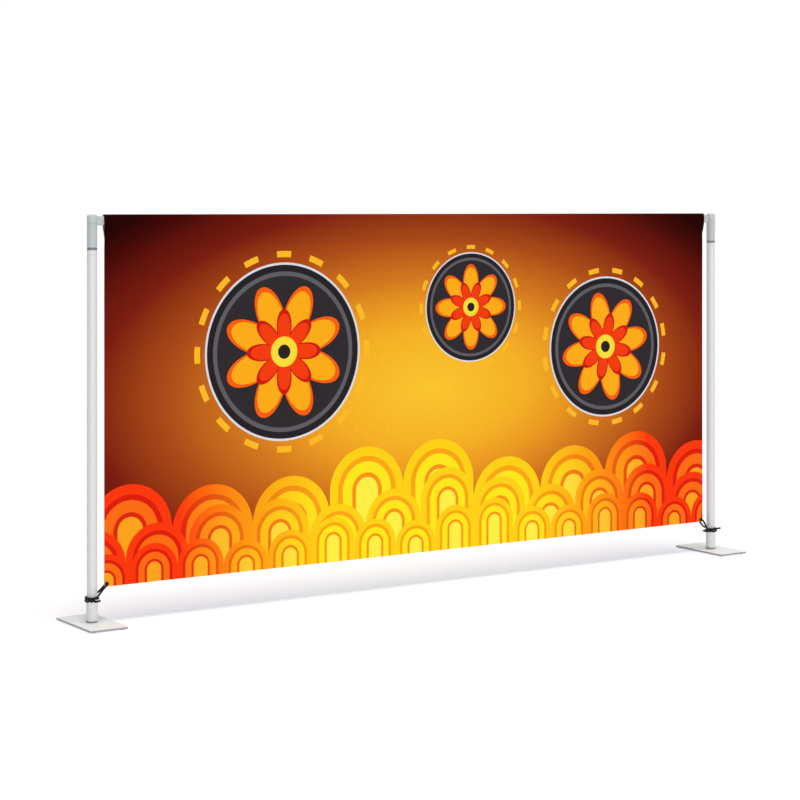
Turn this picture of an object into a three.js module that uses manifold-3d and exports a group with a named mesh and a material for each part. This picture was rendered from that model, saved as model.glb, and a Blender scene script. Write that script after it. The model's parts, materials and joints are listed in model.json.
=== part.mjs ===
// Cafe barrier: two posts on flat feet, a swivelling head on each post, a flat top rail between the heads,
// and a banner that hangs from the rail and is tied to the feet at its lower corners.
// Millimetres, +Z up. The origin is on the floor, midway between the posts; -Y is the printed side.
import * as THREE from "three";
import { mergeVertices } from "three/addons/utils/BufferGeometryUtils.js";
import Module from "manifold-3d";

// Overall sizes
const overallHeight = 1000;
const postSpacing = 2000; // between the axes of the posts
const bannerGroundGap = 89; // floor to the lower edge of the banner
const bannerPostGap = 20; // side of the banner to the surface of the post

// Fits and cuts
const seatGap = 0.3; // between pieces that seat on, or slide in, each other
const cutOverrun = 2; // how far a cutting tool runs past what it cuts

// Feet
const padDiameter = 16;
const padThickness = 2;
const padInset = 13; // edge of the base plate to the centre of a pad
const plateWidth = 100;
const plateDepth = 200;
const plateThickness = 5;
const plateCornerRadius = 2.5;
const plateEdgeBevel = 0.6;
const gasketThickness = 3;
const gasketInset = 0.4; // surface of the socket to the surface of the gasket
const socketHeight = 48;
const socketWall = 1.2;
const socketFloor = 5;
const socketEdgeRadius = 1;
const socketMouthChamfer = 0.8;
const baseBoltDiameter = 8;
const baseBoltHeadDiameter = 15;
const baseBoltReach = 26; // top of the base plate to the end of the bolt
const baseBoltKey = 5; // across the flats of its hexagon recess
const baseBoltKeyDepth = 2.6;

// Posts
const postDiameter = 25;
const postWall = 1.5;
const footPlugLength = 30;
const plugChamfer = 0.5;

// Swivel between post and head
const bushBandHeight = 11.5; // the part of the bush that shows above the tube
const bushPlugLength = 30;
const spacerHeight = 5.6;
const swivelBoltDiameter = 10;
const swivelBoltReach = 34; // length of the bolt inside the head
const swivelBoltKey = 16; // across the flats of its hexagon head
const swivelBoltHeadHeight = 6.4;
const boltWasherDiameter = 20;
const boltWasherThickness = 1.6;

// Heads
const headHeight = 81;
const headDomeRise = 4;
const headChamfer = 0.5;
const headGrooveDrop = 23; // top of the head to the groove round it
const headGrooveDepth = 0.7;
const railDrop = 15.8; // top of the head to the axis of the rail
const tongueHeight = 23;
const tongueDepth = 4.8;
const tongueReach = 46; // length of the tongue inside the rail
const tongueChamfer = 0.8;
const tongueRib = 3; // wall round the pockets that core the tongue
const tonguePocketLength = 10;

// Rail
const railHeight = 29.2;
const railDepth = 10;
const railWall = 1.2;
const plugFlange = 1.2; // thickness of the end plug's flange, outside the rail and the banner
const plugReach = 50; // length of the end plug inside the rail
const railScrewInset = 24; // end of the rail to its locking screw
const railScrewDiameter = 2.6;
const railScrewHeadDiameter = 5.2;
const railScrewHeadHeight = 1.7;
const railScrewGrip = 5; // length of the screw inside the tongue

// Banner
const clothThickness = 0.8;
const pocketSeamDrop = 45; // axis of the rail to the seam that closes the pocket
const seamOverlap = 15;
const hemWidth = 25;

// Eyelets
const eyeletInset = 7; // edges of the banner to the centre of the eyelet
const eyeletFlangeDiameter = 11;
const eyeletFlangeHeight = 0.9;
const eyeletWall = 0.5;
const eyeletWasherThickness = 0.6;

// Corner ties
const tieDiameter = 5;
const tieBoreGap = 0.5; // cord to the bore of the eyelet

// Route of a corner tie, chosen by hand: towards the banner, back, and up, from the axis of the post at the
// top of its socket. The cord runs from its outer tail through the knot, up to the eyelet and through it,
// down behind the banner, one and a half times round the post and through the knot to its inner tail.
// Knot, tails and turns are given for a knot at the front of the post, and are then turned round the post by
// the angle below.
const tieKnotTurn = { left: 28, right: -45 }; // degrees away from the banner
const tieOuterTail = {
  left: [[-10, -31.4, 12.2], [-10.2, -27.8, 11.2]],
  right: [[-30.5, -18.8, 13], [-22, -22, 11.8], [-14.5, -23.9, 10.4]],
};
const tieKnotUpwards = [
  [-9, -24.2, 9.7], [-4.5, -20.6, 6.1], [0, -24.2, 2.5], [4.5, -27.8, 6.1], [9, -24.2, 9.7],
];
const tieFrontStrand = {
  left: [[4, -23.2, 13.4], [18.6, -15.4, 24.2], [34.2, -8.2, 34.6]],
  right: [[24.4, -9.6, 14.4], [30.2, -8.4, 24.6], [36.2, -8.1, 34]],
};
const tieThroughEyelet = [[39, -5.8, 37.2], [39.5, -1.6, 38], [39.5, 2.9, 38], [39.1, 6.6, 36.8]];
const tieBackStrand = [[37, 9.4, 32.6], [26, 11.4, 21.4], [14, 13.9, 12.6], [4.2, 15.3, 9.9]];
const tieFirstTurn = [
  [-5.3, 14.6, 9.1], [-12.7, 8.9, 8.6], [-15.6, 0, 8.4], [-11.1, -11.1, 8.4],
  [0, -15.6, 8.3], [11.1, -11.1, 7], [15.7, 0, 5], [11.1, 11.1, 3.4],
];
const tieSecondTurn = [
  [0, 15.6, 2.8], [-11.2, 11.2, 2.8], [-15.7, 0, 2.8], [-15.7, -8, 2.8], [-13.4, -17, 2.6],
];
const tieKnotDownwards = [
  [-9, -24.2, 2.5], [-4.5, -27.8, 6.1], [0, -24.2, 9.7], [4.5, -20.6, 6.1], [9, -24.2, 2.5],
];
const tieInnerTail = [[13.6, -24.4, 2.6], [18.2, -24, 3.8], [22.3, -23, 4.6]];

// Smoothness of round pieces
const roundSteps = 32;
const smallSteps = 16;
const ovalSteps = 8; // on each round end of a flat oval
const arcSteps = 4;
const leanSteps = 2;
const tieSides = 8;
const tieSteps = 100;

// Heights and radii that follow from the sizes above
const postX = postSpacing / 2;
const postRadius = postDiameter / 2;
const postBore = postRadius - postWall;
const bannerWidth = postSpacing - postDiameter - 2 * bannerPostGap;
const bannerEnd = bannerWidth / 2;
const plateBottom = padThickness;
const plateTop = plateBottom + plateThickness;
const socketBore = postRadius + seatGap;
const socketRadius = socketBore + socketWall;
const socketBottom = plateTop + gasketThickness;
const socketTop = socketBottom + socketHeight;
const postBottom = socketBottom + socketFloor + seatGap;
const baseBoltRadius = baseBoltDiameter / 2;
const baseBoltBore = baseBoltRadius + seatGap;
const headBottom = overallHeight - headHeight;
const spacerBottom = headBottom - spacerHeight;
const bushTop = spacerBottom - seatGap;
const bandBottom = bushTop - bushBandHeight;
const bushBottom = bandBottom - bushPlugLength;
const postTop = bandBottom - seatGap;
const plugRadius = postBore - seatGap;
const swivelRadius = swivelBoltDiameter / 2;
const swivelBore = swivelRadius + seatGap;
const railAxis = overallHeight - railDrop;
const railEnd = bannerEnd;
const plugEnd = railEnd + seatGap + plugFlange;
const railScrewX = railEnd - railScrewInset;
const railScrewBore = railScrewDiameter / 2 + seatGap;
const bannerFront = -clothThickness / 2;
const bannerBack = clothThickness / 2;
const hemBack = bannerBack + clothThickness;
const eyeletBore = tieDiameter / 2 + tieBoreGap;
const eyeletBarrel = eyeletBore + eyeletWall;
const eyeletX = bannerEnd - eyeletInset;
const eyeletZ = bannerGroundGap + eyeletInset;

const material = (color, roughness, metalness) =>
  new THREE.MeshStandardMaterial({ color, roughness, metalness });
const materials = {
  plate: material("#d9dcd9", 0.45, 0.1),
  tube: material("#e2e3e0", 0.35, 0.4),
  bush: material("#e6e8ea", 0.5, 0),
  head: material("#b9c2c0", 0.45, 0),
  plug: material("#1d1e20", 0.55, 0),
  rubber: material("#232426", 0.8, 0),
  ring: material("#1c1d1e", 0.5, 0),
  steel: material("#a9adb0", 0.35, 0.9),
  eyelet: material("#26262a", 0.4, 0.6),
  banner: material("#b3541a", 0.75, 0),
  cord: material("#0d0d0e", 0.8, 0),
};

const wasm = await Module();
wasm.setup();

function toSolid(geometry) {
  const bare = geometry.clone();
  bare.deleteAttribute("normal");
  bare.deleteAttribute("uv");
  const merged = mergeVertices(bare);
  return new wasm.Manifold(
    new wasm.Mesh({
      numProp: 3,
      vertProperties: merged.attributes.position.array,
      triVerts: new Uint32Array(merged.index.array),
    }),
  );
}

function toGeometry(solid) {
  const mesh = solid.getMesh();
  const geometry = new THREE.BufferGeometry();
  geometry.setAttribute("position", new THREE.BufferAttribute(mesh.vertProperties, mesh.numProp));
  geometry.setIndex(new THREE.BufferAttribute(mesh.triVerts, 1));
  geometry.computeVertexNormals();
  return geometry;
}

const join = (first, ...others) =>
  toGeometry(others.reduce((sum, next) => sum.add(toSolid(next)), toSolid(first)));
const cut = (body, ...tools) =>
  toGeometry(tools.reduce((rest, tool) => rest.subtract(toSolid(tool)), toSolid(body)));

// Turns a profile of [radius, height] pairs about the Z axis. The profile runs up its outer side.
function revolve(profile, steps = roundSteps) {
  const points = profile.map(([radius, height]) => new THREE.Vector2(radius, height));
  return new THREE.LatheGeometry(points, steps).rotateX(Math.PI / 2);
}

// A round bar from one height to another, with an optional chamfer at its upper end.
function bar(radius, bottom, top, chamfer = 0, steps = roundSteps) {
  const end = chamfer ? [[radius, top - chamfer], [radius - chamfer, top]] : [[radius, top]];
  return revolve([[0, bottom], [radius, bottom], ...end, [0, top]], steps);
}

// A round pipe from one height to another.
function pipe(inner, outer, bottom, top, steps = roundSteps) {
  return revolve([[inner, bottom], [outer, bottom], [outer, top], [inner, top], [inner, bottom]], steps);
}

// A hexagonal bar, given across its flats.
function hexBar(acrossFlats, bottom, top) {
  return bar(acrossFlats / Math.sqrt(3), bottom, top, 0, 6);
}

// Points on an elliptical arc, for a profile.
function arc(centreU, centreV, radiusU, radiusV, from, to, steps = arcSteps) {
  return Array.from({ length: steps + 1 }, (_, i) => {
    const angle = from + ((to - from) * i) / steps;
    return [centreU + radiusU * Math.cos(angle), centreV + radiusV * Math.sin(angle)];
  });
}

// Sweeps a shape drawn in Y and Z along X, from one X to another. Its two ends can be bevelled.
function alongX(shape, from, to, bevel = 0) {
  const sweep = new THREE.ExtrudeGeometry(shape, {
    depth: to - from - 2 * bevel,
    bevelEnabled: bevel > 0,
    bevelThickness: bevel,
    bevelSize: bevel,
    bevelOffset: -bevel,
    bevelSegments: 1,
    curveSegments: ovalSteps,
  });
  const turn = new THREE.Matrix4().makeBasis(
    new THREE.Vector3(0, 1, 0),
    new THREE.Vector3(0, 0, 1),
    new THREE.Vector3(1, 0, 0),
  );
  return sweep.applyMatrix4(turn).translate(from + bevel, 0, 0);
}

// A flat oval, upright, with full round ends.
function flatOval(height, depth, Kind = THREE.Shape) {
  const radius = depth / 2;
  const rise = height / 2 - radius;
  return new Kind().absarc(0, rise, radius, 0, Math.PI).absarc(0, -rise, radius, Math.PI, 2 * Math.PI);
}

// A flat oval pipe, given by its outer size and its wall.
function flatOvalRing(height, depth, wall) {
  const ring = flatOval(height, depth);
  ring.holes.push(flatOval(height - 2 * wall, depth - 2 * wall, THREE.Path));
  return ring;
}

// Lays a piece that was built upright along +Y.
const layAlongY = (geometry) => geometry.rotateX(-Math.PI / 2);

// Base plate with rounded corners, bevelled edges and a countersunk hole
function basePlate() {
  const x = plateWidth / 2 - plateEdgeBevel;
  const y = plateDepth / 2 - plateEdgeBevel;
  const r = plateCornerRadius - plateEdgeBevel;
  const outline = new THREE.Shape()
    .absarc(x - r, -y + r, r, -Math.PI / 2, 0)
    .absarc(x - r, y - r, r, 0, Math.PI / 2)
    .absarc(-x + r, y - r, r, Math.PI / 2, Math.PI)
    .absarc(-x + r, -y + r, r, Math.PI, 1.5 * Math.PI);
  const slab = new THREE.ExtrudeGeometry(outline, {
    depth: plateThickness - 2 * plateEdgeBevel,
    bevelThickness: plateEdgeBevel,
    bevelSize: plateEdgeBevel,
    bevelSegments: 1,
    curveSegments: arcSteps,
  }).translate(0, 0, plateBottom + plateEdgeBevel);
  const hole = bar(baseBoltBore, plateBottom - cutOverrun, plateTop + cutOverrun, 0, smallSteps);
  const sinkRadius = baseBoltHeadDiameter / 2 + seatGap;
  const sink = revolve([
    [0, plateBottom - cutOverrun],
    [sinkRadius + cutOverrun, plateBottom - cutOverrun],
    [0, plateBottom + sinkRadius],
  ], smallSteps);
  return cut(slab, hole, sink);
}

// Rubber ring between the base plate and the socket
const baseGasket = () =>
  pipe(baseBoltBore, socketRadius - gasketInset, plateTop + seatGap, socketBottom - seatGap);

// Socket round the foot of the post: a cup whose floor is clamped by the bolt
function baseSocket() {
  const r = socketEdgeRadius;
  const floor = socketBottom + socketFloor;
  return revolve([
    [baseBoltBore, socketBottom],
    ...arc(socketRadius - r, socketBottom + r, r, r, -Math.PI / 2, 0, arcSteps / 2),
    [socketRadius, socketTop],
    [socketBore + socketMouthChamfer, socketTop],
    [socketBore, socketTop - socketMouthChamfer],
    [socketBore, floor],
    [baseBoltBore, floor],
    [baseBoltBore, socketBottom],
  ]);
}

// Countersunk bolt from under the plate, through gasket and socket, into the plug in the post
function baseBolt() {
  const head = baseBoltHeadDiameter / 2;
  const body = revolve([
    [0, plateBottom],
    [head, plateBottom],
    [baseBoltRadius, plateBottom + head - baseBoltRadius],
    [baseBoltRadius, plateTop + baseBoltReach],
    [0, plateTop + baseBoltReach],
  ], smallSteps);
  return cut(body, hexBar(baseBoltKey, plateBottom - cutOverrun, plateBottom + baseBoltKeyDepth));
}

const basePad = () => bar(padDiameter / 2, 0, padThickness - seatGap, 0, smallSteps);

const postTube = () => pipe(postBore, postRadius, postBottom, postTop);

// Plug in the foot of the post, which the base bolt screws into
function footPlug() {
  const top = postBottom + footPlugLength;
  return revolve([
    [baseBoltBore, postBottom],
    [plugRadius, postBottom],
    [plugRadius, top - plugChamfer],
    [plugRadius - plugChamfer, top],
    [baseBoltBore, top],
    [baseBoltBore, postBottom],
  ]);
}

// Bush that closes the tube and carries the swivel: a band flush with the tube, and a plug inside it
function swivelBush() {
  return revolve([
    [swivelBore, bushBottom],
    [plugRadius - plugChamfer, bushBottom],
    [plugRadius, bushBottom + plugChamfer],
    [plugRadius, bandBottom],
    [postRadius - plugChamfer, bandBottom],
    [postRadius, bandBottom + plugChamfer],
    [postRadius, bushTop - plugChamfer],
    [postRadius - plugChamfer, bushTop],
    [swivelBore, bushTop],
    [swivelBore, bushBottom],
  ]);
}

const spacerRing = () => pipe(swivelBore, postRadius, spacerBottom, headBottom - seatGap);

// Bolt that holds the post under the head: its own head turns below the bush
function swivelBolt() {
  const keyTop = bushBottom - boltWasherThickness - 2 * seatGap;
  const keyBottom = keyTop - swivelBoltHeadHeight;
  const shankBottom = (keyTop + keyBottom) / 2;
  const shank = bar(swivelRadius, shankBottom, headBottom + swivelBoltReach, plugChamfer, smallSteps);
  return join(hexBar(swivelBoltKey, keyBottom, keyTop), shank);
}

function boltWasher() {
  const top = bushBottom - seatGap;
  return pipe(swivelBore, boltWasherDiameter / 2, top - boltWasherThickness, top, smallSteps);
}

// Head: a grooved, domed hub, and a flat tongue on its +X side that plugs into the rail. The tongue is cored
// by two pockets, one on each side of the solid stretch that takes the locking screw.
function railHead() {
  const grooveZ = overallHeight - headGrooveDrop;
  const hub = revolve([
    [0, headBottom],
    [postRadius - headChamfer, headBottom],
    [postRadius, headBottom + headChamfer],
    [postRadius, grooveZ - headGrooveDepth],
    [postRadius - headGrooveDepth, grooveZ],
    [postRadius, grooveZ + headGrooveDepth],
    ...arc(0, overallHeight - headDomeRise, postRadius, headDomeRise, 0, Math.PI / 2),
  ]);
  const mouth = postX - railEnd;
  const tip = mouth + tongueReach;
  const tongue = alongX(flatOval(tongueHeight, tongueDepth), 0, tip, tongueChamfer);
  const pocketHeight = tongueHeight - 2 * tongueRib;
  const pocket = new THREE.BoxGeometry(tonguePocketLength, tongueDepth + cutOverrun, pocketHeight);
  const aside = railScrewBore + tongueRib + tonguePocketLength / 2;
  const screwX = mouth + railScrewInset;
  const pockets = [-aside, aside].map((x) => pocket.clone().translate(screwX + x, 0, 0));
  const screwDepth = tongueHeight / 2 - railScrewGrip - seatGap;
  const screwBore = bar(railScrewBore, -railHeight / 2, -screwDepth, 0, smallSteps).translate(screwX, 0, 0);
  const boltEnd = headBottom + swivelBoltReach;
  const boltBore = bar(swivelBore, headBottom - cutOverrun, boltEnd + seatGap, 0, smallSteps);
  const placedTongue = cut(tongue, ...pockets, screwBore).translate(0, 0, railAxis);
  return cut(join(hub, placedTongue), boltBore);
}

// Rail: a flat oval tube with a hole for the locking screw on its underside at each end
function rail() {
  const tube = alongX(flatOvalRing(railHeight, railDepth, railWall), -railEnd, railEnd);
  const hole = bar(railScrewBore, -railHeight / 2 - cutOverrun, -tongueHeight / 2, 0, smallSteps);
  const holes = [-railScrewX, railScrewX].map((x) => hole.clone().translate(x, 0, 0));
  return cut(tube, ...holes).translate(0, 0, railAxis);
}

// End plug that centres the tongue in the rail, built at the +X end
function railPlug() {
  const innerHeight = railHeight - 2 * (railWall + seatGap);
  const innerDepth = railDepth - 2 * (railWall + seatGap);
  const flange = alongX(flatOval(railHeight, railDepth), railEnd + seatGap, plugEnd, plugChamfer);
  const body = alongX(flatOval(innerHeight, innerDepth), railEnd - plugReach, plugEnd - plugFlange / 2);
  const bore = alongX(
    flatOval(tongueHeight + 2 * seatGap, tongueDepth + 2 * seatGap),
    railEnd - plugReach - cutOverrun,
    plugEnd + cutOverrun,
  );
  const hole = bar(railScrewBore, -railHeight / 2, -tongueHeight / 4, 0, smallSteps)
    .translate(railScrewX, 0, 0);
  return cut(join(flange, body), bore, hole).translate(0, 0, railAxis);
}

// Pan-head screw that enters the rail from below and locks the tongue, built at the +X end
function railScrew() {
  const seat = -railHeight / 2 - seatGap;
  const shank = railScrewDiameter / 2;
  const tip = -tongueHeight / 2 + railScrewGrip;
  return revolve([
    ...arc(0, seat, railScrewHeadDiameter / 2, railScrewHeadHeight, -Math.PI / 2, 0),
    [shank, seat],
    [shank, tip - shank],
    [0, tip],
  ], smallSteps).translate(railScrewX, 0, railAxis);
}

// Draws a line round the rail at a given distance from it, leaning in below towards the pocket's seam.
// Both sides of the cloth lean alike, so they stay parallel.
const pocketRise = (railHeight - railDepth) / 2;
const pocketInner = railDepth / 2 + seatGap;
const pocketLean = Math.asin(pocketInner / (pocketSeamDrop - pocketRise));
function wrapRail(line, radius) {
  const points = [
    ...arc(0, -pocketRise, radius, radius, -pocketLean, 0, leanSteps),
    ...arc(0, pocketRise, radius, radius, 0, Math.PI, ovalSteps),
    ...arc(0, -pocketRise, radius, radius, Math.PI, Math.PI + pocketLean, leanSteps),
  ];
  for (const [y, z] of points) line.lineTo(y, z);
  return line;
}

// Banner: a pocket hung on the rail, one layer of cloth below its seam, and hems folded to the back
function banner() {
  const lowerEdge = railAxis - bannerGroundGap;
  const seamBottom = pocketSeamDrop + seamOverlap;
  const legThickness = clothThickness / Math.cos(pocketLean);
  const legDropAt = (y) => pocketSeamDrop - (y - legThickness) / Math.tan(pocketLean);

  const outline = new THREE.Shape()
    .moveTo(bannerFront, -legDropAt(-bannerFront))
    .lineTo(bannerFront, -lowerEdge)
    .lineTo(hemBack, -lowerEdge)
    .lineTo(hemBack, -lowerEdge + hemWidth)
    .lineTo(bannerBack, -lowerEdge + hemWidth)
    .lineTo(bannerBack, -seamBottom)
    .lineTo(hemBack, -seamBottom)
    .lineTo(hemBack, -legDropAt(hemBack));
  wrapRail(outline, pocketInner + clothThickness);
  outline.holes.push(wrapRail(new THREE.Path().moveTo(0, -pocketSeamDrop), pocketInner));
  const cloth = alongX(outline, -bannerEnd, bannerEnd).translate(0, 0, railAxis);

  const sideHemHeight = lowerEdge - seamBottom + clothThickness;
  const sideHems = [-1, 1].map((sign) =>
    new THREE.BoxGeometry(hemWidth, hemBack, sideHemHeight).translate(
      sign * (bannerEnd - hemWidth / 2),
      hemBack / 2,
      bannerGroundGap + sideHemHeight / 2,
    ));
  const holes = [-1, 1].map((sign) =>
    layAlongY(bar(eyeletBarrel + seatGap, -hemBack - cutOverrun, hemBack + cutOverrun, 0, smallSteps))
      .translate(sign * eyeletX, 0, eyeletZ));
  return cut(join(cloth, ...sideHems), ...holes);
}

// Eyelet: a domed flange on the printed side and a barrel through the cloth, built at the +X end
function eyelet() {
  const seat = bannerFront - seatGap;
  const flange = eyeletFlangeDiameter / 2;
  const dome = arc(
    (eyeletBore + flange) / 2, seat, (flange - eyeletBore) / 2, -eyeletFlangeHeight, Math.PI, 0);
  const barrelEnd = hemBack + 2 * seatGap + eyeletWasherThickness;
  return layAlongY(revolve([
    ...dome,
    [eyeletBarrel, seat],
    [eyeletBarrel, barrelEnd],
    [eyeletBore, barrelEnd],
    dome[0],
  ], smallSteps)).translate(eyeletX, 0, eyeletZ);
}

function eyeletWasher() {
  const front = hemBack + seatGap;
  const washer = pipe(
    eyeletBarrel + seatGap, eyeletFlangeDiameter / 2, front, front + eyeletWasherThickness, smallSteps);
  return layAlongY(washer).translate(eyeletX, 0, eyeletZ);
}

// Least gap between a cord and itself, taken between points more than two diameters apart along it
function leastSelfGap(curve, diameter) {
  const points = curve.getSpacedPoints(4 * tieSteps);
  const skip = Math.ceil((2 * diameter * points.length) / curve.getLength());
  let least = Infinity;
  points.forEach((point, i) => {
    for (const other of points.slice(i + skip)) least = Math.min(least, point.distanceTo(other));
  });
  return least - diameter;
}

// Turns part of a tie's route round the post, by a share of the knot's angle that runs from one value at
// the first point to the whole angle at the last.
function turnTie(side, points, from = 1) {
  return points.map(([x, y, z], i) => {
    const share = from + ((1 - from) * i) / (points.length - 1);
    const angle = share * THREE.MathUtils.degToRad(tieKnotTurn[side.name]);
    const [cos, sin] = [Math.cos(angle), Math.sin(angle)];
    return [x * cos + y * sin, y * cos - x * sin, z];
  });
}

// Corner tie: one cord, swept along its route
function cornerTie(side) {
  const points = [
    ...turnTie(side, [...tieOuterTail[side.name], ...tieKnotUpwards]),
    ...tieFrontStrand[side.name],
    ...tieThroughEyelet,
    ...tieBackStrand,
    ...turnTie(side, [...tieFirstTurn, ...tieSecondTurn], 0),
    ...turnTie(side, [...tieKnotDownwards, ...tieInnerTail]),
  ];
  const route = points.map(([x, y, z]) => new THREE.Vector3(-side.sign * x, y, socketTop + z));
  const path = new THREE.CatmullRomCurve3(route, false, "centripetal");
  const length = path.getLength();
  const gap = leastSelfGap(path, tieDiameter);
  console.log(`${side.name} tie: ${length.toFixed(1)} mm long, ${gap.toFixed(2)} mm clear of itself`);
  const radius = tieDiameter / 2;
  const section = new THREE.Shape(
    arc(0, 0, radius, radius, 0, 2 * Math.PI, tieSides).slice(1)
      .map(([x, y]) => new THREE.Vector2(x, y)));
  return new THREE.ExtrudeGeometry(section, { steps: tieSteps, bevelEnabled: false, extrudePath: path });
}

function mesh(name, geometry, finish) {
  const made = new THREE.Mesh(geometry, finish);
  made.name = name;
  return made;
}

// One foot with its post, which turn together under the head
function foot(side) {
  const group = new THREE.Group();
  group.position.x = side.sign * postX;
  group.add(
    mesh(`base_plate_${side.name}`, basePlate(), materials.plate),
    mesh(`base_gasket_${side.name}`, baseGasket(), materials.rubber),
    mesh(`base_socket_${side.name}`, baseSocket(), materials.plate),
    mesh(`base_bolt_${side.name}`, baseBolt(), materials.steel),
    mesh(`post_tube_${side.name}`, postTube(), materials.tube),
    mesh(`foot_plug_${side.name}`, footPlug(), materials.plug),
    mesh(`swivel_bush_${side.name}`, swivelBush(), materials.bush),
  );
  for (const [end, y] of [["front", -1], ["rear", 1]]) {
    for (const [edge, x] of [["outer", side.sign], ["inner", -side.sign]]) {
      const pad = mesh(`base_pad_${side.name}_${end}_${edge}`, basePad(), materials.rubber);
      pad.position.set(x * (plateWidth / 2 - padInset), y * (plateDepth / 2 - padInset), 0);
      group.add(pad);
    }
  }
  return group;
}

// The head and its swivel parts, which stay in line with the rail
function head(side) {
  const group = new THREE.Group();
  group.position.x = side.sign * postX;
  group.rotation.z = side.sign > 0 ? Math.PI : 0;
  group.add(
    mesh(`rail_head_${side.name}`, railHead(), materials.head),
    mesh(`spacer_ring_${side.name}`, spacerRing(), materials.ring),
    mesh(`swivel_bolt_${side.name}`, swivelBolt(), materials.steel),
    mesh(`bolt_washer_${side.name}`, boltWasher(), materials.steel),
  );
  return group;
}

// What one end of the rail and banner carries. The rail's pieces are built at the +X end, so the group is
// turned for the other end; the eyelets and ties keep their printed side, so they are shifted instead.
function fixings(side) {
  const railFixings = new THREE.Group();
  railFixings.rotation.z = side.sign > 0 ? 0 : Math.PI;
  railFixings.add(
    mesh(`rail_plug_${side.name}`, railPlug(), materials.plug),
    mesh(`rail_screw_${side.name}`, railScrew(), materials.steel),
  );
  const cornerFixings = new THREE.Group();
  cornerFixings.position.x = side.sign > 0 ? 0 : -2 * eyeletX;
  cornerFixings.add(
    mesh(`eyelet_${side.name}`, eyelet(), materials.eyelet),
    mesh(`eyelet_washer_${side.name}`, eyeletWasher(), materials.eyelet),
  );
  const tie = mesh(`corner_tie_${side.name}`, cornerTie(side), materials.cord);
  tie.position.x = side.sign * postX;
  return [railFixings, cornerFixings, tie];
}

const barrier = new THREE.Group();
barrier.add(
  mesh("rail_tube", rail(), materials.tube),
  mesh("banner_panel", banner(), materials.banner),
);
for (const side of [{ name: "left", sign: -1 }, { name: "right", sign: 1 }]) {
  barrier.add(foot(side), head(side), ...fixings(side));
}

export default barrier;
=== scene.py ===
import json
import math

import bpy
import numpy as np
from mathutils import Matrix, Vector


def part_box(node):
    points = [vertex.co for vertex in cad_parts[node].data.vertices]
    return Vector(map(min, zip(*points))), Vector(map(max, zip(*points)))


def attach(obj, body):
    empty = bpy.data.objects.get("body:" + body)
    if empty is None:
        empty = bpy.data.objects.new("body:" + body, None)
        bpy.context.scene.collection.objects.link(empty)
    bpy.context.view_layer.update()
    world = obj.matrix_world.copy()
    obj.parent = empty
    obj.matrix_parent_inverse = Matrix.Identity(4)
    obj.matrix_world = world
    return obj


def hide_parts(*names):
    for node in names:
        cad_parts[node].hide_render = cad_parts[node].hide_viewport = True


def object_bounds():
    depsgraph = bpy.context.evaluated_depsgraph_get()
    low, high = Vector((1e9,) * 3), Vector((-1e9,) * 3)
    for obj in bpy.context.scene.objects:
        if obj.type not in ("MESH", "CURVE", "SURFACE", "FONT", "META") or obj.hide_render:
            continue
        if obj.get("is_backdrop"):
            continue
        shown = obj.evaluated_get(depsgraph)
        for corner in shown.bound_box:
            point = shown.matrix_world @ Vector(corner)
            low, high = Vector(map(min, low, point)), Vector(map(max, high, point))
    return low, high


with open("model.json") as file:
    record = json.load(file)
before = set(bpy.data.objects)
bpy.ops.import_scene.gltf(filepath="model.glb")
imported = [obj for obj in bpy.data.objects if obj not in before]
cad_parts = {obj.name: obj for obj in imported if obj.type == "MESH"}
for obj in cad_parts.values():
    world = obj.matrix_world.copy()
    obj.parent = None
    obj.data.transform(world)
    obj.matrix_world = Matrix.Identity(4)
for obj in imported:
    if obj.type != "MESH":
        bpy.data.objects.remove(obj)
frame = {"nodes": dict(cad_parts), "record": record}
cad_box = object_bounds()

mm = 0.001
sides = {"left": -1, "right": 1}

# Camera, fitted to the photograph: level, from the left, with the frame shifted down
frame_px = 800
focal_px = 2079
horizon_px = 208.6
camera_place = (-3.154, -4.646, 1.014)
camera_turn_deg = 33.3
sensor_mm = 36


def make_camera():
    data = bpy.data.cameras.new("camera")
    data.sensor_width = sensor_mm
    data.lens = focal_px / frame_px * sensor_mm
    data.shift_y = (horizon_px - frame_px / 2) / frame_px
    camera = bpy.data.objects.new("camera", data)
    camera.location = camera_place
    camera.rotation_euler = (math.pi / 2, 0, -math.radians(camera_turn_deg))
    bpy.context.scene.collection.objects.link(camera)
    bpy.context.scene.camera = camera


make_camera()


# Node trees written as expressions

def srgb(red, green, blue):
    """A colour given as on screen, from 0 to 255, as the linear colour that shaders take."""
    channels = [c / 255 for c in (red, green, blue)]
    linear = [c / 12.92 if c <= 0.04045 else ((c + 0.055) / 1.055) ** 2.4 for c in channels]
    return (*linear, 1)


class Field:
    """A number that varies over a surface: the output of a node."""

    def __init__(self, graph, socket):
        self.graph = graph
        self.socket = socket

    def __add__(self, other):
        return self.graph.math("ADD", self, other)

    def __sub__(self, other):
        return self.graph.math("SUBTRACT", self, other)

    def __rsub__(self, other):
        return self.graph.math("SUBTRACT", other, self)

    def __mul__(self, other):
        return self.graph.math("MULTIPLY", self, other)

    def __truediv__(self, other):
        return self.graph.math("DIVIDE", self, other)

    def __abs__(self):
        return self.graph.math("ABSOLUTE", self)

    def __round__(self):
        return self.graph.math("ROUND", self)

    def sin(self):
        return self.graph.math("SINE", self)

    def at_least(self, other):
        return self.graph.math("MAXIMUM", self, other)

    def at_most(self, other):
        return self.graph.math("MINIMUM", self, other)

    def between(self, low, high):
        """A number from 0 to 1, spread over the range from low to high."""
        return self * (high - low) + low

    def below(self, edge, soft):
        """1 where the number is under the edge and 0 where it is over it, with an edge that is soft wide."""
        return self.graph.math("MULTIPLY_ADD", edge - self, 1 / soft, 0.5, clamp=True)


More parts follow.
